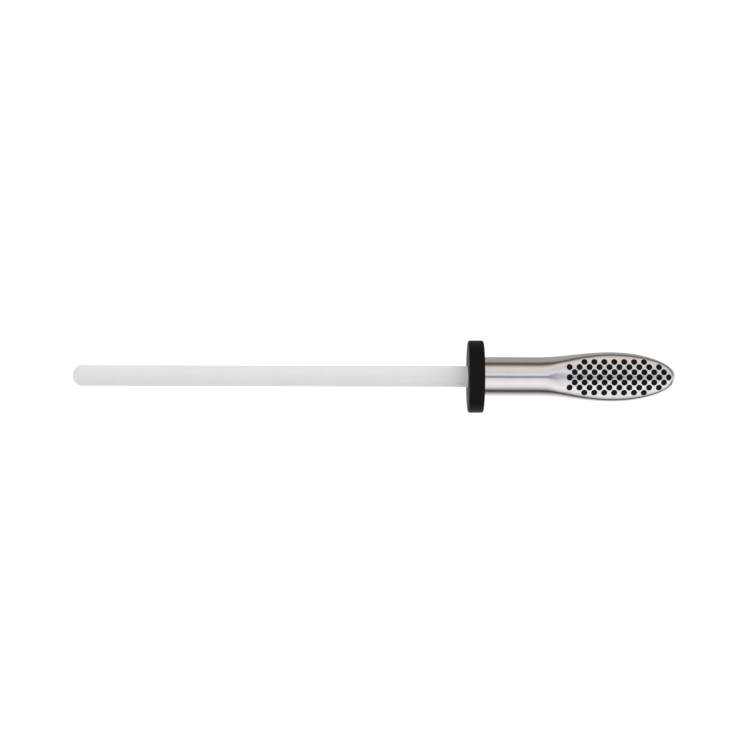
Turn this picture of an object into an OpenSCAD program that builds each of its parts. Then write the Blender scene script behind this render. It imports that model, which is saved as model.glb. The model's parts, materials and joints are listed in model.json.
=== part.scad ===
// Ceramic knife sharpening steel. The rod points along -X, the grip along +X,
// and the dimpled sides of the grip face up and down (+Z and -Z).
// The origin is the centre of the guard's front face.

/* [Rod] */
// Diameter of the ceramic rod where it shows
rod_d = 12.8; // [12:0.1:13.2]
// Length of rod that shows, from the guard to the tip
rod_len = 240; // [180:1:300]
// Height of the domed tip
dome_h = 4.4; // [3.6:0.1:6]
// Diameter of the ground tail that the sleeve grips
tail_d = 12.2; // [11.6:0.1:12.4]
// Length of the tail behind the guard's front face
tail_len = 44; // [38:0.5:46]

/* [Guard] */
// Diameter of the rubber guard
guard_d = 44; // [36:0.5:52]
// Thickness of the guard
guard_h = 9.5; // [8.5:0.1:12]
// Radius of the guard's rounded edges
guard_edge = 1.3; // [0.8:0.1:2]
// Thickness of the guard's front lip, in front of the spigot
guard_lip = 3.2; // [2.4:0.1:3.6]

/* [Grip] */
// Diameter of the round neck
neck_d = 24; // [23.6:0.1:24.8]
// Greatest width of the flattened grip
grip_w = 30.4; // [29:0.1:32]
// Thickness where the flattened grip begins
grip_t = 20.8; // [19.6:0.1:22]
// Thickness that it tapers to at its end, before the end is rounded
end_t = 14.4; // [10:0.1:16]
// Height of a face's crown, as a share of the grip's half width
crown = 0.32; // [0.24:0.02:0.34]
// How crisp the corners are between faces and sides, from 2 for an ellipse
corner_power = 20; // [6:1:24]
// How bluntly the end is rounded in side view, from 2 for an ellipse
end_power = 8; // [4:1:8]
// Distance from the guard's front face to the end of the grip
grip_end = 126; // [124:1:130]
// Where the neck starts to widen
flare_x = 42; // [38:1:46]
// Where the grip is widest
widest_x = 86; // [84:1:88]
// Where the neck starts to flatten
scoop_x = 46; // [44:1:50]
// Length over which it flattens
scoop_len = 18; // [16:1:22]
// Thickness of the pressed steel
wall = 1.5; // [1.2:0.1:1.5]

/* [Dimples] */
// Distance between dimples along a row
dot_pitch = 6.04; // [5.9:0.01:6.1]
// Distance between rows
row_pitch = 3.1; // [3:0.01:3.2]
// Diameter of a dimple
dot_d = 3.8; // [3:0.05:3.9]
// Depth of a dimple
dot_depth = 0.5; // [0.4:0.05:0.6]
// Distance from the guard's front face to the first dimple of the middle row
dot_x = 60.9; // [60:0.1:62]

/* [Rod holder] */
// Outer diameter of the socket tube
socket_d = 18.4; // [17.6:0.1:18.6]
// Bore of the socket tube
socket_bore = 15.5; // [15:0.1:15.8]
// Diameter of the spigot that the guard snaps over
spigot_d = 18.4; // [17.8:0.1:19]

/* [Hidden] */
$fn = 96;

fit = 0.05;          // radial running fit of the tail in its sleeve
gap = 0.1;           // gap between pieces that are pushed together
rod_r = rod_d / 2;
tail_r = tail_d / 2;
guard_r = guard_d / 2;
neck_r = neck_d / 2;
dot_r = dot_d / 2;
cap_r = (rod_r * rod_r + dome_h * dome_h) / (2 * dome_h);  // radius of the domed tip
chamfer = 0.8;       // chamfer at the end of the tail

spigot_r = spigot_d / 2;
spigot_x = 4.4;      // front of the spigot
groove_x = 5.8;      // snap groove round the spigot
groove_w = 1.6;
groove_h = 0.5;
flange_h = 5;        // plug that closes the neck
flange_r = neck_r - wall - 0.15;
cushion_h = 3;       // pad behind the rod
floor_h = 4;         // closed end of the socket
socket_floor = tail_len + cushion_h;
collar_h = 1;        // collar at the front of the sleeve
collar_r = 8.6;

// Rows of dimples from the middle outwards: row, first place in steps of the pitch, count
ROWS = [[0, 0, 11], [1, 0.5, 10], [2, 0, 10], [3, 1.5, 7]];

side_steps = 20;     // facets round half a section
flare_steps = 22;    // sections from the neck to the widest place
end_steps = 14;      // sections from there to the end

// Eased step from 0 to 1
function ease(u) = let (v = min(max(u, 0), 1)) v * v * (3 - 2 * v);

// Share of the full section that the rounded end leaves at x, for a surface sunk by d
function share(x, d, n) =
    x <= widest_x ? 1 : sqrt(max(0, 1 - pow((x - widest_x) / (grip_end - d - widest_x), n)));

// How far the neck has flattened at x, from 0 to 1
function flatness(x) = ease((x - scoop_x) / scoop_len);

// Half width of the section at x
function half_w(x, d) =
    (neck_r + (grip_w / 2 - neck_r) * ease((x - flare_x) / (widest_x - flare_x)) - d) * share(x, d, 2);

// Half thickness before the end is rounded
function flat_t(x) =
    let (flat_x = scoop_x + scoop_len) (grip_t + (end_t - grip_t) * (x - flat_x) / (grip_end - flat_x)) / 2;
function full_t(x) = neck_r + (flat_t(x) - neck_r) * flatness(x);

// The two parts of the half thickness: the crown of the face and the side below it
function crown_t(x, d) = crown * flatness(x) * half_w(x, d);
function side_t(x, d) = (full_t(x) - d) * share(x, d, end_power) - crown_t(x, d);

// Exponent of the sides at x; the corners grow crisp up to the widest place
function crispness(x) = 2 + (corner_power - 2) * ease((x - scoop_x) / (widest_x - scoop_x));

// Height of the upper surface at x, at a share u of the half width
function height(x, u, d) =
    side_t(x, d) * sqrt(max(0, 1 - pow(u, crispness(x)))) + crown_t(x, d) * (1 - u * u);

// Height of the grip's face over a point
function face_z(x, y) = height(x, abs(y) / half_w(x, 0), 0);

// Point of a section at an angle round it; the points are closer together at the corners
function rim(x, a, d) =
    let (
        p = 2 + 2 * flatness(x),
        u = cos(a) * pow(pow(abs(cos(a)), p) + pow(abs(sin(a)), p), -1 / p)
    )
    [x, half_w(x, d) * u, sign(sin(a)) * height(x, abs(u), d)];

// Places of the sections along the grip, for a surface sunk by d that starts at x0
function stations(x0, d) = concat(
    [x0],
    [
        for (i = [0 : flare_steps])
            let (x = flare_x + (widest_x - flare_x) * i / flare_steps) if (x > x0 + 1) x
    ],
    [for (i = [1 : end_steps]) widest_x + (grip_end - d - widest_x) * sin(86 * i / end_steps)]
);

// Splits a four-cornered face in two and drops what has no area
function halves(q) = [
    for (t = [[q[0], q[1], q[2]], [q[0], q[2], q[3]]])
        if (t[0] != t[1] && t[1] != t[2] && t[2] != t[0]) t
];

// Turns a shape made along +Z so that it runs along +X
module along_x(x = 0) {
    translate([x, 0, 0]) rotate([0, 90, 0]) children();
}

// Half of the pressed grip, above the joint plane
module half_shell() {
    outer = stations(guard_h, 0);
    inner = stations(guard_h, wall);
    n = len(outer);
    m = side_steps;
    count = 2 * (m + 1);
    points = concat(
        [for (i = [0 : n - 1]) each concat(
            [for (j = [0 : m]) rim(outer[i], 180 * j / m, 0)],
            [for (j = [m : -1 : 0]) rim(inner[i], 180 * j / m, wall)]
        )],
        [[grip_end, 0, 0], [grip_end - wall, 0, 0]]
    );
    function at(i, k) =
        let (j = k % count) i < n ? i * count + j : n * count + (j <= m ? 0 : 1);
    sides = [
        for (i = [0 : n - 1]) for (k = [0 : count - 1])
            each halves([at(i, k), at(i + 1, k), at(i + 1, k + 1), at(i, k + 1)])
    ];
    mouth = [
        for (j = [0 : m - 1]) each halves([j, j + 1, count - 2 - j, count - 1 - j])
    ];
    polyhedron(points, concat(sides, mouth));
}

// Puts its children at every dimple, with +Z along the face's outward normal
module at_dimples() {
    step = 0.05;
    for (row = ROWS) for (side = row[0] == 0 ? [1] : [-1, 1]) for (i = [0 : row[2] - 1]) {
        x = dot_x + dot_pitch * (row[1] + i);
        y = side * row[0] * row_pitch;
        slope_x = (face_z(x + step, y) - face_z(x - step, y)) / (2 * step);
        slope_y = (face_z(x, y + step) - face_z(x, y - step)) / (2 * step);
        long = norm([slope_x, slope_y, 1]);
        translate([x, y, face_z(x, y)])
            rotate([asin(slope_y / long), -atan(slope_x), 0])
                children();
    }
}

module dimpled_half() {
    difference() {
        half_shell();
        at_dimples() translate([0, 0, -dot_depth]) cylinder(r = dot_r, h = 2 * dot_depth);
    }
}

// Black enamel in the bottom of every dimple
module enamel() {
    proud = 0.15;    // how far the enamel stays below the face
    at_dimples() translate([0, 0, -dot_depth])
        cylinder(r = dot_r - 0.02, h = dot_depth - proud);
}

module ceramic_rod() {
    cap_x = cap_r - rod_len;  // centre of the domed tip's arc
    color("whitesmoke") along_x() rotate_extrude() {
        intersection() {
            translate([0, -rod_len]) square([rod_r, rod_len]);
            union() {
                translate([0, cap_x]) circle(r = cap_r);
                translate([0, cap_x]) square([(rod_r + cap_r) / 2, -cap_x]);
            }
        }
        square([tail_r, tail_len - chamfer]);
        polygon([
            [0, tail_len - chamfer], [tail_r, tail_len - chamfer],
            [tail_r - chamfer, tail_len], [0, tail_len]
        ]);
    }
}

module guard_ring() {
    color([0.11, 0.1, 0.1]) difference() {
        along_x() rotate_extrude() {
            square([guard_r - guard_edge, guard_h]);
            translate([0, guard_edge]) square([guard_r, guard_h - 2 * guard_edge]);
            for (z = [guard_edge, guard_h - guard_edge])
                translate([guard_r - guard_edge, z]) circle(r = guard_edge);
        }
        along_x(-1) cylinder(r = rod_r + fit, h = guard_h);
        along_x(guard_lip) cylinder(r = spigot_r + gap, h = groove_x + gap - guard_lip);
        along_x(guard_lip) cylinder(r = spigot_r + gap - groove_h, h = guard_h);
        along_x(groove_x + groove_w - gap) cylinder(r = spigot_r + gap, h = guard_h);
    }
}

module neck_socket() {
    color("darkgray") difference() {
        union() {
            along_x(spigot_x) cylinder(r = spigot_r, h = guard_h - spigot_x);
            along_x(guard_h) cylinder(r = flange_r, h = flange_h);
            along_x(guard_h) cylinder(r = socket_d / 2, h = socket_floor + floor_h - guard_h);
        }
        along_x(groove_x) difference() {
            cylinder(r = spigot_r + 1, h = groove_w);
            translate([0, 0, -1]) cylinder(r = spigot_r - groove_h, h = groove_w + 2);
        }
        along_x(spigot_x - 1) cylinder(r = socket_bore / 2, h = socket_floor - spigot_x + 1);
    }
}

module rod_sleeve() {
    color("ivory") difference() {
        union() {
            along_x(spigot_x - collar_h) cylinder(r = collar_r, h = collar_h);
            along_x(spigot_x - collar_h)
                cylinder(r = socket_bore / 2 - fit, h = tail_len - spigot_x + collar_h);
        }
        along_x() cylinder(r = tail_r + fit, h = tail_len + 1);
    }
}

module rod_cushion() {
    color("dimgray") along_x(tail_len) cylinder(r = socket_bore / 2 - gap, h = cushion_h);
}

module handle_front_shell() {
    color("silver") dimpled_half();
}

module handle_back_shell() {
    color("silver") mirror([0, 0, 1]) dimpled_half();
}

module front_dimple_enamel() {
    color([0.08, 0.08, 0.09]) enamel();
}

module back_dimple_enamel() {
    color([0.08, 0.08, 0.09]) mirror([0, 0, 1]) enamel();
}

module sand_ballast() {
    sunk = wall + dot_depth + 0.2;
    xs = stations(socket_floor + floor_h + 1.5, sunk);
    n = len(xs);
    m = 2 * side_steps;
    points = concat(
        [for (x = xs) each [for (j = [0 : m - 1]) rim(x, 360 * j / m, sunk)]],
        [[grip_end - sunk, 0, 0]]
    );
    function at(i, k) = i < n ? i * m + k % m : n * m;
    sides = [
        for (i = [0 : n - 1]) for (k = [0 : m - 1])
            each halves([at(i, k), at(i + 1, k), at(i + 1, k + 1), at(i, k + 1)])
    ];
    color("tan") polyhedron(points, concat(sides, [[for (j = [0 : m - 1]) j]]));
}

ceramic_rod();
guard_ring();
neck_socket();
rod_sleeve();
rod_cushion();
handle_front_shell();
handle_back_shell();
front_dimple_enamel();
back_dimple_enamel();
sand_ballast();
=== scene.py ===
import json
from math import asin, atan2, cos, pi, radians, sin, sqrt

import bmesh
import bpy
from mathutils import Matrix, Vector, kdtree


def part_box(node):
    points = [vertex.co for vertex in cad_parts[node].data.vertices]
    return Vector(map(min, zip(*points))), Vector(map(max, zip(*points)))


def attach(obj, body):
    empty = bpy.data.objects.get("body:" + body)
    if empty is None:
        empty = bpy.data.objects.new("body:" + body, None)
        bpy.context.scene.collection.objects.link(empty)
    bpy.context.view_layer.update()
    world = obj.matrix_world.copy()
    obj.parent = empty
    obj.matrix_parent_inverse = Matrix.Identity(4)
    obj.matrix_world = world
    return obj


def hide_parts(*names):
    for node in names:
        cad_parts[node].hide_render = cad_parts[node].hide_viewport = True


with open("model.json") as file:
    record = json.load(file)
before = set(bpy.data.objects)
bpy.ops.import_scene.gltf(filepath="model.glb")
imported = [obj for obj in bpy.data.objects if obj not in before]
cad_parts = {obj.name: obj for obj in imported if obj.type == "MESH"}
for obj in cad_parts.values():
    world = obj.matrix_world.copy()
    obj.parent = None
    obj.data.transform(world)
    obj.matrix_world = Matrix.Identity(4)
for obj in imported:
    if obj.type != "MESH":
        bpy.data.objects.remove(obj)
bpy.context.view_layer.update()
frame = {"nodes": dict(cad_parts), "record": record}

# ---- Grip shells ----
# The grip is two pressings of 1.5 mm stainless sheet, welded along their edges and ground flush. Each
# goes from a half-round neck to a broad, softly crowned face with 65 dimples punched into it. The steel
# is polished round the grip with a fine belt, so it has faint lines across its length and a soft gloss.
MM = 0.001
WALL = 1.5
FLARE_X, WIDEST_X = 42, 86              # where the neck starts to widen, and where the grip is widest
SCOOP_X, SCOOP_LEN = 46, 18             # where and over what length it flattens
FACE_T, END_T = 20.8, 14.4              # thickness where the flattened part begins and at its end
CROWN = 0.32                            # height of a face's crown, as a share of the half width
CORNER_POWER, END_POWER = 20, 8         # how crisp the corners and how blunt the end; 2 is an ellipse
DOT_X, DOT_PITCH, ROW_PITCH = 60.9, 6.04, 3.1
DOT_ROWS = [(0, 0, 11), (1, 0.5, 10), (2, 0, 10), (3, 1.5, 7)]  # row, first place in pitches, count
DIMPLE_R, DIMPLE_DEPTH = 2.14, 0.5
COLUMNS = 132                           # facets round half a section
NECK_STEPS, FACE_STEPS, TIP_STEPS = 30, 216, 26
FACE_END_X = 122                        # the last stretch, to the tip, goes by angle

shell_low, shell_high = (Vector(corner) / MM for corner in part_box("handle_front_shell"))
neck_x, grip_end = shell_low.x, shell_high.x
neck_r, grip_half_w = shell_high.z, shell_high.y


def linear(code):
    """An sRGB hex colour as linear RGBA."""
    channels = [int(code[i:i + 2], 16) / 255 for i in (1, 3, 5)]
    return [c / 12.92 if c <= 0.04045 else ((c + 0.055) / 1.055) ** 2.4 for c in channels] + [1.0]


def add(owner, kind, settings={}, inputs={}):
    """Adds a node to a material or the world. An input is a value, or the output that feeds it."""
    tree = owner.node_tree
    node = tree.nodes.new("ShaderNode" + kind)
    for name, value in settings.items():
        if name == "stops":
            elements = node.color_ramp.elements
            while len(elements) < len(value):
                elements.new(1.0)
            for element, (place, colour) in zip(elements, value):
                element.position, element.color = place, colour
        else:
            setattr(node, name, value)
    for name, value in inputs.items():
        if isinstance(value, bpy.types.NodeSocket):
            tree.links.new(value, node.inputs[name])
        else:
            node.inputs[name].default_value = value
    return node


def new_material(name):
    """An empty material holding only the object's own coordinates, in metres."""
    material = bpy.data.materials.new(name)
    material.use_nodes = True
    material.node_tree.nodes.clear()
    return material, add(material, "TexCoord").outputs["Object"]


def surface(material, inputs):
    """The Principled surface of a material."""
    shader = add(material, "BsdfPrincipled", {}, inputs)
    add(material, "OutputMaterial", {}, {"Surface": shader.outputs["BSDF"]})


def make_piece(name, bm, material, node, sharp_degrees=40):
    """Turns a bmesh in millimetres into a visible piece that stands for a CAD node."""
    bmesh.ops.scale(bm, vec=(MM, MM, MM), verts=bm.verts)
    for face in bm.faces:
        face.smooth = True
    for edge in bm.edges:
        edge.smooth = edge.calc_face_angle(0) < radians(sharp_degrees)
    mesh = bpy.data.meshes.new(name)
    bm.to_mesh(mesh)
    bm.free()
    mesh.materials.append(material)
    piece = bpy.data.objects.new(name, mesh)
    bpy.context.scene.collection.objects.link(piece)
    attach(piece, "root")
    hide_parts(node)
    return piece


def ease(u):
    v = min(max(u, 0), 1)
    return v * v * (3 - 2 * v)


def share(x, power):
    """Share of the full section that the rounded end leaves at x."""
    return 1 if x <= WIDEST_X else sqrt(max(0, 1 - ((x - WIDEST_X) / (grip_end - WIDEST_X)) ** power))


def flatness(x):
    """How far the neck has flattened at x, from 0 to 1."""
    return ease((x - SCOOP_X) / SCOOP_LEN)


def section(x, sunk=0):
    """Half width, crown and side of the grip at x, for a surface sunk below it."""
    flat_x = SCOOP_X + SCOOP_LEN
    flat_t = (FACE_T + (END_T - FACE_T) * (x - flat_x) / (grip_end - flat_x)) / 2
    wide = neck_r + (grip_half_w - neck_r) * ease((x - FLARE_X) / (WIDEST_X - FLARE_X))
    thick = neck_r + (flat_t - neck_r) * flatness(x)
    half_w = (wide - sunk) * share(x, 2)
    crown = CROWN * flatness(x) * half_w
    return half_w, crown, (thick - sunk) * share(x, END_POWER) - crown


def height(x, across, sunk=0):
    """Height of the upper surface at x, at a share of the half width."""
    _, crown, side = section(x, sunk)
    corner = 2 + (CORNER_POWER - 2) * ease((x - SCOOP_X) / (WIDEST_X - SCOOP_X))   # crisper up to WIDEST_X
    return side * sqrt(max(0, 1 - across ** corner)) + crown * (1 - across ** 2)


def on_grip(x, angle, sunk=0):
    """Point of the section at x, at an angle round it from +Y. Points are closer together at the corners."""
    power = 2 + 2 * flatness(x)
    across = cos(angle) * (abs(cos(angle)) ** power + abs(sin(angle)) ** power) ** (-1 / power)
    inner_x = x if x <= WIDEST_X else x - sunk * (x - WIDEST_X) / (grip_end - WIDEST_X)
    return Vector((inner_x, section(x, sunk)[0] * across, height(x, abs(across), sunk)))


def face_z(x, y):
    return height(x, abs(y) / section(x)[0])


def dot_places():
    """A matrix for every dimple: its place on the upper face, with +Z along the face's normal."""
    step = 0.05
    for row, start, count in DOT_ROWS:
        for side in ([1] if row == 0 else [-1, 1]):
            for i in range(count):
                x, y = DOT_X + DOT_PITCH * (start + i), side * row * ROW_PITCH
                slope_x = (face_z(x + step, y) - face_z(x - step, y)) / (2 * step)
                slope_y = (face_z(x, y + step) - face_z(x, y - step)) / (2 * step)
                normal = Vector((-slope_x, -slope_y, 1)).normalized()
                turn = Vector((0, 0, 1)).rotation_difference(normal).to_matrix().to_4x4()
                yield Matrix.Translation((x, y, face_z(x, y))) @ turn


dots = list(dot_places())

tip_angle = asin((FACE_END_X - WIDEST_X) / (grip_end - WIDEST_X))
stations = [neck_x + (SCOOP_X - neck_x) * i / NECK_STEPS for i in range(NECK_STEPS)]
stations += [SCOOP_X + (FACE_END_X - SCOOP_X) * i / FACE_STEPS for i in range(FACE_STEPS)]
stations += [WIDEST_X + (grip_end - WIDEST_X) * sin(tip_angle + (pi / 2 - tip_angle) * i / TIP_STEPS)
             for i in range(TIP_STEPS + 1)]


def half_skin(bm, sunk):
    """Lays a grid on the upper half of the grip, or on a surface sunk below it. Its last row is the tip."""
    verts = bmesh.ops.create_grid(
        bm, x_segments=len(stations) - 1, y_segments=COLUMNS, size=0.5)["verts"]
    for vert in verts:
        x = stations[round((vert.co.x + 0.5) * (len(stations) - 1))]
        vert.co = on_grip(x, pi * (0.5 - vert.co.y), sunk)
    bmesh.ops.remove_doubles(bm, verts=verts, dist=1e-5)


def pressed_half():
    """The upper pressing: outer skin with its dimples, inner skin, and the edges between them."""
    bm = bmesh.new()
    half_skin(bm, 0)
    centres = kdtree.KDTree(len(dots))
    for i, place in enumerate(dots):
        centres.insert(place.translation, i)
    centres.balance()
    for vert in bm.verts:
        centre, i, _ = centres.find(vert.co)
        normal = dots[i].to_3x3() @ Vector((0, 0, 1))
        away = vert.co - centre
        radius = (away - normal * away.dot(normal)).length
        if radius < DIMPLE_R:
            vert.co -= normal * DIMPLE_DEPTH * (1 - (radius / DIMPLE_R) ** 2) ** 2
    inner_faces = len(bm.faces)
    half_skin(bm, WALL)
    bm.faces.ensure_lookup_table()
    bmesh.ops.reverse_faces(bm, faces=bm.faces[inner_faces:])
    bmesh.ops.bridge_loops(bm, edges=[e for e in bm.edges if e.is_boundary])
    bmesh.ops.recalc_face_normals(bm, faces=bm.faces)
    return bm


# Stainless 18/8 sheet, belt-polished round the grip and buffed: a warm grey metal whose fine lines
# blur a reflection along the grip and leave it sharp across. A metal keeps the default IOR.
polished_stainless, place = new_material("belt_polished_stainless")
POLISH_LINE_MM = 0.35    # real lines are about 0.03 mm apart, too fine to show, so they are drawn coarser
POLISH_RUN = 90          # how fast the lines change along their own length, per metre
lines = add(polished_stainless, "TexNoise", {"noise_dimensions": "3D"}, {
    "Vector": add(polished_stainless, "Mapping", {}, {
        "Vector": place, "Scale": (1 / (POLISH_LINE_MM * MM), POLISH_RUN, POLISH_RUN)}).outputs["Vector"],
    "Scale": 1.0, "Detail": 3.0, "Roughness": 0.6})
HANDLING_MM = 9          # patches where hands and the buffing wheel left the polish uneven
patches = add(polished_stainless, "TexNoise", {}, {
    "Vector": place, "Scale": 1 / (HANDLING_MM * MM), "Detail": 4.0, "Roughness": 0.55})
steel_colour = add(polished_stainless, "Mix", {"data_type": "RGBA"}, {
    0: patches.outputs["Fac"], 6: linear("#C6C0BD"), 7: linear("#D2CFCE")})
steel_roughness = add(polished_stainless, "MapRange", {}, {
    "Value": lines.outputs["Fac"], "From Min": 0.3, "From Max": 0.7, "To Min": 0.11, "To Max": 0.18})
WAVE_MM, WAVE_HEIGHT_MM = 8, 0.02        # slight waves that pressing leaves in the sheet
waves = add(polished_stainless, "TexNoise", {}, {
    "Vector": place, "Scale": 1 / (WAVE_MM * MM), "Detail": 1.0})
waviness = add(polished_stainless, "Bump", {}, {
    "Height": waves.outputs["Fac"], "Strength": 1.0, "Distance": WAVE_HEIGHT_MM * MM})
steel_bump = add(polished_stainless, "Bump", {}, {
    "Height": lines.outputs["Fac"], "Strength": 0.10, "Distance": 0.00004,
    "Normal": waviness.outputs["Normal"]})
surface(polished_stainless, {
    "Base Color": steel_colour.outputs[2], "Metallic": 1.0,
    "Roughness": steel_roughness.outputs["Result"], "Normal": steel_bump.outputs["Normal"]})

upper = pressed_half()
lower = upper.copy()
bmesh.ops.rotate(lower, cent=(0, 0, 0), matrix=Matrix.Rotation(pi, 3, "X"), verts=lower.verts)
make_piece("grip_upper_pressing", upper, polished_stainless, "handle_front_shell")
make_piece("grip_lower_pressing", lower, polished_stainless, "handle_back_shell")

# ---- Enamel in the dimples ----
# Every dimple holds a drop of black stoved enamel, which shrinks into a shallow dish as it dries. One
# small dished disc is set into each dimple of both faces.
ENAMEL_R, ENAMEL_SEGMENTS = 1.88, 28
ENAMEL_RINGS = [(0.25, 0.03), (0.45, 0.05), (0.45, 0.03)]   # inset of each ring and how far it sinks
ENAMEL_SKIRT = 0.12                      # height of the disc's edge

drop = bmesh.new()
bmesh.ops.create_circle(drop, cap_ends=True, radius=ENAMEL_R, segments=ENAMEL_SEGMENTS)
rim = drop.edges[:]
middle = drop.faces[:]
for inset, sink in ENAMEL_RINGS:
    bmesh.ops.inset_individual(drop, faces=middle, thickness=inset, depth=-sink)
skirt = bmesh.ops.extrude_edge_only(drop, edges=rim)["geom"]
skirt_verts = [g for g in skirt if isinstance(g, bmesh.types.BMVert)]
bmesh.ops.translate(drop, vec=(0, 0, -ENAMEL_SKIRT), verts=skirt_verts)
bmesh.ops.contextual_create(drop, geom=[g for g in skirt if isinstance(g, bmesh.types.BMEdge)])
bmesh.ops.recalc_face_normals(drop, faces=drop.faces)
drop_mesh = bpy.data.meshes.new("enamel_drop")
drop.to_mesh(drop_mesh)
drop.free()

# Black stoving enamel: a smooth paint film with a soft gloss and a slight orange peel.
black_enamel, place = new_material("black_stoved_enamel")
ORANGE_PEEL_MM = 0.5
peel = add(black_enamel, "TexNoise", {}, {
    "Vector": place, "Scale": 1 / (ORANGE_PEEL_MM * MM), "Detail": 2.0})
enamel_colour = add(black_enamel, "Mix", {"data_type": "RGBA"}, {
    0: peel.outputs["Fac"], 6: linear("#090A0C"), 7: linear("#101113")})
enamel_roughness = add(black_enamel, "MapRange", {}, {
    "Value": peel.outputs["Fac"], "To Min": 0.28, "To Max": 0.42})
enamel_bump = add(black_enamel, "Bump", {}, {
    "Height": peel.outputs["Fac"], "Strength": 0.15, "Distance": 0.00005})
surface(black_enamel, {
    "Base Color": enamel_colour.outputs[2], "Roughness": enamel_roughness.outputs["Result"],
    "Specular IOR Level": 0.09, "Normal": enamel_bump.outputs["Normal"]})

for side, turn in (("upper", 0), ("lower", pi)):
    bm = bmesh.new()
    for spot in dots:
        bm.from_mesh(drop_mesh)
        bm.verts.ensure_lookup_table()
        fresh = bm.verts[-len(drop_mesh.vertices):]
        bmesh.ops.transform(bm, matrix=Matrix.Rotation(turn, 4, "X") @ spot, verts=fresh)
    node = "front_dimple_enamel" if side == "upper" else "back_dimple_enamel"
    make_piece(f"{side}_dimple_enamel", bm, black_enamel, node)
bpy.data.meshes.remove(drop_mesh)

# ---- Neck socket ----
# A turned stainless plug and tube, welded into the neck's mouth. It closes the neck, its spigot takes
# the guard, and its bore takes the rod. It is wholly inside.
turned_steel, place = new_material("turned_stainless")
FEED_LINE_MM = 1.885     # real feed lines are about 0.3 mm apart, and are drawn coarser
WAVE_RATE = 20           # radians that the Wave Texture turns through per unit, at a scale of 1
feed = add(turned_steel, "TexWave", {"bands_direction": "X"}, {
    "Vector": place, "Scale": 2 * pi / (WAVE_RATE * FEED_LINE_MM * MM), "Distortion": 0.6,
    "Detail": 1.0})
turned_colour = add(turned_steel, "Mix", {"data_type": "RGBA"}, {
    0: feed.outputs["Fac"], 6: linear("#B7B3AF"), 7: linear("#C9C6C3")})
turned_bump = add(turned_steel, "Bump", {}, {
    "Height": feed.outputs["Fac"], "Strength": 0.3, "Distance": 0.00005})
surface(turned_steel, {
    "Base Color": turned_colour.outputs[2], "Metallic": 1.0, "Roughness": 0.3,
    "Normal": turned_bump.outputs["Normal"]})

# ---- Sand ballast ----
# Dry sand, sealed in the flattened part of the grip when the pressings are welded, brings the weight
# back into the hand. It is wholly inside.
dry_sand, place = new_material("dry_quartz_sand")
GRAIN_MM = 0.5
grains = add(dry_sand, "TexVoronoi", {}, {"Vector": place, "Scale": 1 / (GRAIN_MM * MM)})
sand_colour = add(dry_sand, "Mix", {"data_type": "RGBA"}, {
    0: grains.outputs["Color"], 6: linear("#A58A62"), 7: linear("#D9C6A0")})
sand_bump = add(dry_sand, "Bump", {}, {"Height": grains.outputs["Distance"], "Distance": 0.0003})
surface(dry_sand, {
    "Base Color": sand_colour.outputs[2], "Roughness": 0.9, "Normal": sand_bump.outputs["Normal"]})

# ---- Rod cushion ----
# A pad cut from black rubber sheet, behind the rod's end, so that a knock on the tip doesn't reach the
# steel. It is wholly inside.
sheet_rubber, place = new_material("cut_sheet_rubber")
SPECK_MM = 0.4
specks = add(sheet_rubber, "TexNoise", {}, {"Vector": place, "Scale": 1 / (SPECK_MM * MM), "Detail": 3.0})
cushion_colour = add(sheet_rubber, "Mix", {"data_type": "RGBA"}, {
    0: specks.outputs["Fac"], 6: linear("#2A2929"), 7: linear("#3D3B3A")})
cushion_bump = add(sheet_rubber, "Bump", {}, {
    "Height": specks.outputs["Fac"], "Strength": 0.4, "Distance": 0.0001})
surface(sheet_rubber, {
    "Base Color": cushion_colour.outputs[2], "Roughness": 0.85, "Normal": cushion_bump.outputs["Normal"]})

# ---- Rod sleeve ----
# A moulded nylon sleeve with a collar at its front, pushed into the socket. It keeps the brittle rod off
# the steel. It is wholly inside.
natural_nylon, place = new_material("natural_nylon")
CLOUD_MM = 3
clouds = add(natural_nylon, "TexNoise", {}, {"Vector": place, "Scale": 1 / (CLOUD_MM * MM), "Detail": 2.0})
nylon_colour = add(natural_nylon, "Mix", {"data_type": "RGBA"}, {
    0: clouds.outputs["Fac"], 6: linear("#E4DEC9"), 7: linear("#F0ECDC")})
nylon_roughness = add(natural_nylon, "MapRange", {}, {
    "Value": clouds.outputs["Fac"], "To Min": 0.4, "To Max": 0.55})
surface(natural_nylon, {
    "Base Color": nylon_colour.outputs[2], "Roughness": nylon_roughness.outputs["Result"]})

for node, material in (("neck_socket", turned_steel), ("sand_ballast", dry_sand),
                       ("rod_cushion", sheet_rubber), ("rod_sleeve", natural_nylon)):
    mesh = frame["nodes"][node].data
    mesh.materials.clear()
    mesh.materials.append(material)

# ---- Ceramic rod ----
# The rod is sintered alumina, fired white and ground to size between wheels, with a low dome ground on
# its tip. Its tail is ground thinner and sits in the nylon sleeve.
rod_mount = next(m for m in frame["record"]["mounts"] if m["name"] == "rod")
rod_r, rod_wall = rod_mount["dims"]["r_mm"], rod_mount["dims"]["length_mm"]
rod_low, rod_high = (Vector(corner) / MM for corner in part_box("ceramic_rod"))
dome_h = -rod_low.x - rod_wall
TAIL_R, TAIL_CHAMFER = 6.1, 0.8
DOME_EDGE_R, DOME_EDGE_SEGMENTS = 0.9, 6
TURNED_STEPS = 128


def turned(outline):
    """A bmesh turned about X from an outline of (x, radius) points that runs from axis to axis."""
    bm = bmesh.new()
    verts = [bm.verts.new((x, 0, radius)) for x, radius in outline]
    edges = [bm.edges.new(pair) for pair in zip(verts, verts[1:])]
    bmesh.ops.spin(bm, geom=verts + edges, cent=(0, 0, 0), axis=(1, 0, 0), angle=2 * pi,
                   steps=TURNED_STEPS, use_merge=True)
    bmesh.ops.remove_doubles(bm, verts=bm.verts, dist=1e-4)
    bmesh.ops.recalc_face_normals(bm, faces=bm.faces)
    return bm


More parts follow.
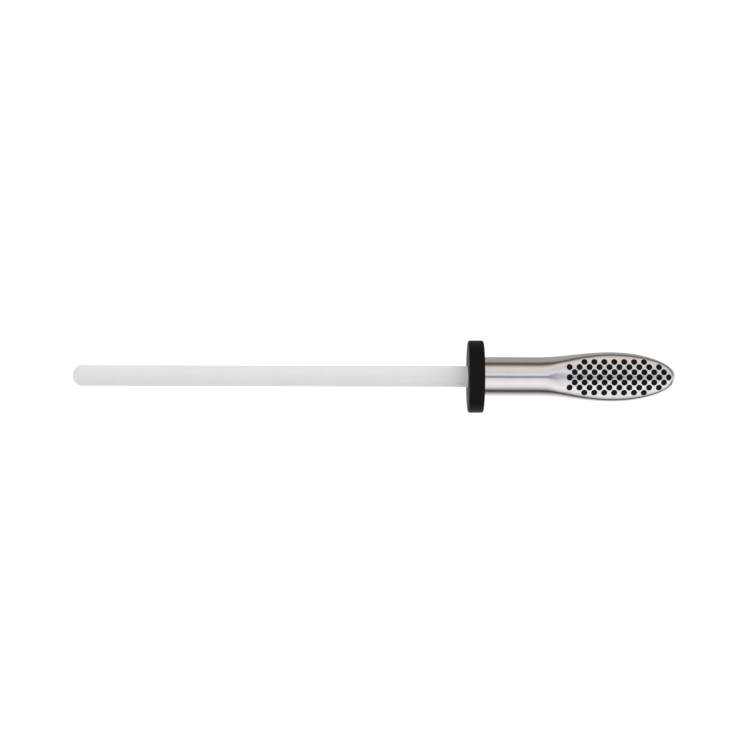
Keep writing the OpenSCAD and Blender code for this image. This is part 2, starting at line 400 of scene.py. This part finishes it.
def round_edges(bm, x, radius, width, segments):
    """Rounds the circular edge of a turned shape at x and a radius."""
    ring = [e for e in bm.edges if all(
        abs(v.co.x - x) < 1e-3 and abs(v.co.yz.length - radius) < 1e-3 for v in e.verts)]
    bmesh.ops.bevel(bm, geom=ring, offset=width, offset_type="OFFSET", affect="EDGES",
                    segments=segments, profile=0.5, material=-1)


DOME_STEPS = 16
cap_r = (rod_r ** 2 + dome_h ** 2) / (2 * dome_h)
cap_angle = asin(rod_r / cap_r)
dome = [(rod_low.x + cap_r * (1 - cos(angle)), cap_r * sin(angle))
        for angle in (cap_angle * i / DOME_STEPS for i in range(DOME_STEPS + 1))]
dome[0] = (rod_low.x, 0)
RINGS = 24                              # rings along the straight wall, so that its faces stay compact
wall = [(-rod_wall * (1 - i / RINGS), rod_r) for i in range(1, RINGS + 1)]
tail = [(0, TAIL_R), (rod_high.x - TAIL_CHAMFER, TAIL_R), (rod_high.x, TAIL_R - TAIL_CHAMFER),
        (rod_high.x, 0)]
rod = turned(dome + wall + tail)
round_edges(rod, -rod_wall, rod_r, DOME_EDGE_R, DOME_EDGE_SEGMENTS)

# Ground alumina: a dense white ceramic with a slight warmth, matt where the wheel has opened its
# grains, with faint rings left by the grinding and a very slight cloudiness from firing.
ground_alumina, place = new_material("ground_alumina")
GRIND_MM = 0.5           # real grinding rings are some 0.05 mm apart, and are drawn coarser to show
GRIND_RUN = 60           # how fast the rings change along their own length, per metre
rings = add(ground_alumina, "TexNoise", {}, {
    "Vector": add(ground_alumina, "Mapping", {}, {
        "Vector": place, "Scale": (1 / (GRIND_MM * MM), GRIND_RUN, GRIND_RUN)}).outputs["Vector"],
    "Scale": 1.0, "Detail": 3.0})
FIRING_MM = 14
firing = add(ground_alumina, "TexNoise", {}, {
    "Vector": place, "Scale": 1 / (FIRING_MM * MM), "Detail": 3.0, "Roughness": 0.6})
alumina_colour = add(ground_alumina, "Mix", {"data_type": "RGBA"}, {
    0: firing.outputs["Fac"], 6: linear("#D8DAD9"), 7: linear("#E0E2E1")})
alumina_roughness = add(ground_alumina, "MapRange", {}, {
    "Value": rings.outputs["Fac"], "From Min": 0.3, "From Max": 0.7, "To Min": 0.42, "To Max": 0.55})
GRAIN_RELIEF_MM = 0.25
pores = add(ground_alumina, "TexNoise", {}, {
    "Vector": place, "Scale": 1 / (GRAIN_RELIEF_MM * MM), "Detail": 2.0})
relief = add(ground_alumina, "Math", {"operation": "ADD"}, {
    0: rings.outputs["Fac"], 1: pores.outputs["Fac"]})
alumina_bump = add(ground_alumina, "Bump", {}, {
    "Height": relief.outputs["Value"], "Strength": 0.12, "Distance": 0.00005})
surface(ground_alumina, {
    "Base Color": alumina_colour.outputs[2], "Roughness": alumina_roughness.outputs["Result"],
    "IOR": 1.6, "Specular IOR Level": 0.4, "Normal": alumina_bump.outputs["Normal"]})
make_piece("ground_ceramic_rod", rod, ground_alumina, "ceramic_rod")

# ---- Guard ----
# A thick disc moulded in black rubber. Its lip closes on the rod, and a rib inside snaps into a groove
# of the socket's spigot. It stops a blade that slips.
guard_low, guard_high = (Vector(corner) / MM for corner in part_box("guard_ring"))
guard_h, guard_r = guard_high.x, guard_high.y
GUARD_EDGE_R, GUARD_EDGE_SEGMENTS = 1.3, 8
GUARD_LIP, LIP_BORE_R, SPIGOT_BORE_R, RIB_H = 3.2, 6.45, 9.3, 0.5
RIB_X, RIB_END_X = 5.9, 7.3
guard_outline = [
    (0, LIP_BORE_R), (0, (LIP_BORE_R + guard_r) / 2), (0, guard_r), (guard_h / 2, guard_r),
    (guard_h, guard_r), (guard_h, (SPIGOT_BORE_R + guard_r) / 2), (guard_h, SPIGOT_BORE_R),
    (RIB_END_X, SPIGOT_BORE_R), (RIB_END_X, SPIGOT_BORE_R - RIB_H), (RIB_X, SPIGOT_BORE_R - RIB_H),
    (RIB_X, SPIGOT_BORE_R), (GUARD_LIP, SPIGOT_BORE_R), (GUARD_LIP, LIP_BORE_R), (0, LIP_BORE_R)]
guard = turned(guard_outline)
for x in (0, guard_h):
    round_edges(guard, x, guard_r, GUARD_EDGE_R, GUARD_EDGE_SEGMENTS)

# Moulded nitrile rubber: deep black with a fine spark-eroded mould texture, so it has a dull sheen
# that shows only at a low angle.
moulded_rubber, place = new_material("moulded_nitrile_rubber")
MOULD_GRAIN_MM = 0.3     # the mould's texture is about 0.1 mm, drawn a little coarser
mould_grain = add(moulded_rubber, "TexNoise", {}, {
    "Vector": place, "Scale": 1 / (MOULD_GRAIN_MM * MM), "Detail": 3.0})
BLOOM_MM = 12            # faint bloom that rubber gets with age
bloom = add(moulded_rubber, "TexNoise", {}, {
    "Vector": place, "Scale": 1 / (BLOOM_MM * MM), "Detail": 3.0})
rubber_colour = add(moulded_rubber, "Mix", {"data_type": "RGBA"}, {
    0: bloom.outputs["Fac"], 6: linear("#0D0A0B"), 7: linear("#130F10")})
rubber_roughness = add(moulded_rubber, "MapRange", {}, {
    "Value": mould_grain.outputs["Fac"], "To Min": 0.45, "To Max": 0.6})
rubber_bump = add(moulded_rubber, "Bump", {}, {
    "Height": mould_grain.outputs["Fac"], "Strength": 0.25, "Distance": 0.00005})
surface(moulded_rubber, {
    "Base Color": rubber_colour.outputs[2], "Roughness": rubber_roughness.outputs["Result"],
    "Specular IOR Level": 0.07, "Normal": rubber_bump.outputs["Normal"]})
make_piece("moulded_guard", guard, moulded_rubber, "guard_ring")

# ---- Studio ----
# A plain white floor under the guard. What the steel mirrors is separate from what the camera sees: it is
# a band of brightness round the tool, with a narrow dark gap overhead, that draws the lines in the steel.
FLOOR_HALF = 3.0         # metres
floor_bm = bmesh.new()
bmesh.ops.create_grid(floor_bm, x_segments=1, y_segments=1, size=FLOOR_HALF)
bmesh.ops.translate(floor_bm, vec=(0, 0, guard_low.z * MM), verts=floor_bm.verts)
floor_mesh = bpy.data.meshes.new("studio_floor")
floor_bm.to_mesh(floor_mesh)
floor_bm.free()
floor = bpy.data.objects.new("studio_floor", floor_mesh)
bpy.context.scene.collection.objects.link(floor)
floor.visible_glossy = False
white_sweep, place = new_material("white_paper_sweep")
surface(white_sweep, {
    "Base Color": linear("#B4B4B4"), "Roughness": 0.9, "Specular IOR Level": 0.0,
    "Emission Color": linear("#FFFFFF"), "Emission Strength": 0.8})
floor_mesh.materials.append(white_sweep)

# What surrounds the tool, by the angle about its length in degrees: 0 is straight up, 90 level towards
# +Y and 180 straight down. Each colour is multiplied by BRIGHTEST.
AROUND = [
    (-180, "#E6E6EC"), (-145, "#FAFAFF"), (-127, "#E0DDE4"), (-115, "#C2BBC4"), (-105, "#96909A"),
    (-97, "#5C585F"), (-90, "#37353B"), (-84, "#605E64"), (-78, "#949AA0"), (-70, "#C2C5CC"),
    (-60, "#ECECF2"), (-40, "#FFFFFF"), (-15, "#EAEAF4"), (-8, "#DCDEEA"), (-2, "#787A84"),
    (2, "#787A84"), (8, "#D4D8E2"), (14, "#ECF2FC"), (25, "#D2D6DC"), (37, "#DFDDE1"), (50, "#E8DEDC"),
    (57, "#DFD5D0"), (64, "#BEB8B2"), (71, "#84807B"), (77, "#5C5C58"), (84, "#4C4F4A"), (91, "#6E706A"),
    (99, "#A6A29C"), (112, "#ADA9A7"), (150, "#9DA3A9"), (180, "#E6E6EC")]
BRIGHTEST = 1.45
GAP = 5                  # half of the dark gap overhead, in degrees; it fades towards both ends
GAP_FADE_FROM, GAP_FADE_TO, GAP_FADED = 0.1, 0.35, 0.6   # share of a ray's length along X, and how much
world = bpy.data.worlds.new("studio")
bpy.context.scene.world = world
world.use_nodes = True
world.node_tree.nodes.clear()
direction = add(world, "SeparateXYZ", {}, {"Vector": add(world, "TexCoord").outputs["Generated"]})
bearing = add(world, "Math", {"operation": "ARCTAN2"}, {
    0: direction.outputs["Y"], 1: direction.outputs["Z"]})
around = add(world, "MapRange", {}, {
    "Value": bearing.outputs["Value"], "From Min": -pi, "From Max": pi})
boxes = add(world, "ValToRGB", {
    "stops": [(0.5 + degrees / 360, linear(colour)) for degrees, colour in AROUND]}, {
    "Fac": around.outputs["Result"]})
no_gap = add(world, "ValToRGB", {
    "stops": [(0.5 + degrees / 360, linear(colour))
              for degrees, colour in AROUND if abs(degrees) > GAP]}, {
    "Fac": around.outputs["Result"]})
along = add(world, "MapRange", {"interpolation_type": "SMOOTHSTEP"}, {
    "Value": add(world, "Math", {"operation": "ABSOLUTE"}, {0: direction.outputs["X"]}).outputs["Value"],
    "From Min": GAP_FADE_FROM, "From Max": GAP_FADE_TO, "To Max": GAP_FADED})
room = add(world, "Mix", {"data_type": "RGBA"}, {
    0: along.outputs["Result"], 6: boxes.outputs["Color"], 7: no_gap.outputs["Color"]})
mirrored = add(world, "Background", {}, {"Color": room.outputs[2], "Strength": BRIGHTEST})
AMBIENT = 0.85           # light on the matt pieces
ambient = add(world, "Background", {}, {"Color": linear("#FFFFFF"), "Strength": AMBIENT})
paper = add(world, "Background", {}, {"Color": linear("#FFFFFF"), "Strength": 1.0})
ray = add(world, "LightPath")
lit = add(world, "MixShader", {}, {
    0: ray.outputs["Is Glossy Ray"], 1: ambient.outputs["Background"], 2: mirrored.outputs["Background"]})
studio = add(world, "MixShader", {}, {
    0: ray.outputs["Is Camera Ray"], 1: lit.outputs["Shader"], 2: paper.outputs["Background"]})
add(world, "OutputWorld", {}, {"Surface": studio.outputs["Shader"]})

# One large softbox above and behind gives the matt pieces their form. The steel mirrors the softboxes
# of the world, so this one is left out of its reflections.
KEY_SIZE, KEY_WATTS = 1.2, 3.2
KEY_AT = Vector((-0.05, 0.55, 1.0))
key_data = bpy.data.lights.new("key_softbox", "AREA")
key_data.shape, key_data.size, key_data.energy = "SQUARE", KEY_SIZE, KEY_WATTS
key = bpy.data.objects.new("key_softbox", key_data)
bpy.context.scene.collection.objects.link(key)
key.location = KEY_AT
key.rotation_euler = (-atan2(KEY_AT.y, KEY_AT.z), 0, 0)
key.visible_glossy = key.visible_camera = False

# ---- Camera ----
# It looks almost straight down on the tool, leaning slightly towards the +Y side.
LENS_MM, SENSOR_MM = 88.8, 36
DISTANCE, LEAN, ROLL = 1.124, radians(1.3), radians(0.17)
TARGET = Vector((-0.0564, 0.0008, 0))
camera_data = bpy.data.cameras.new("camera")
camera_data.lens, camera_data.sensor_width = LENS_MM, SENSOR_MM
camera = bpy.data.objects.new("camera", camera_data)
bpy.context.scene.collection.objects.link(camera)
away = Vector((0, sin(LEAN), cos(LEAN)))
camera.location = TARGET + DISTANCE * away
camera.rotation_euler = (-LEAN, 0, ROLL)
bpy.context.scene.camera = camera
bpy.context.scene.view_settings.view_transform = "Standard"
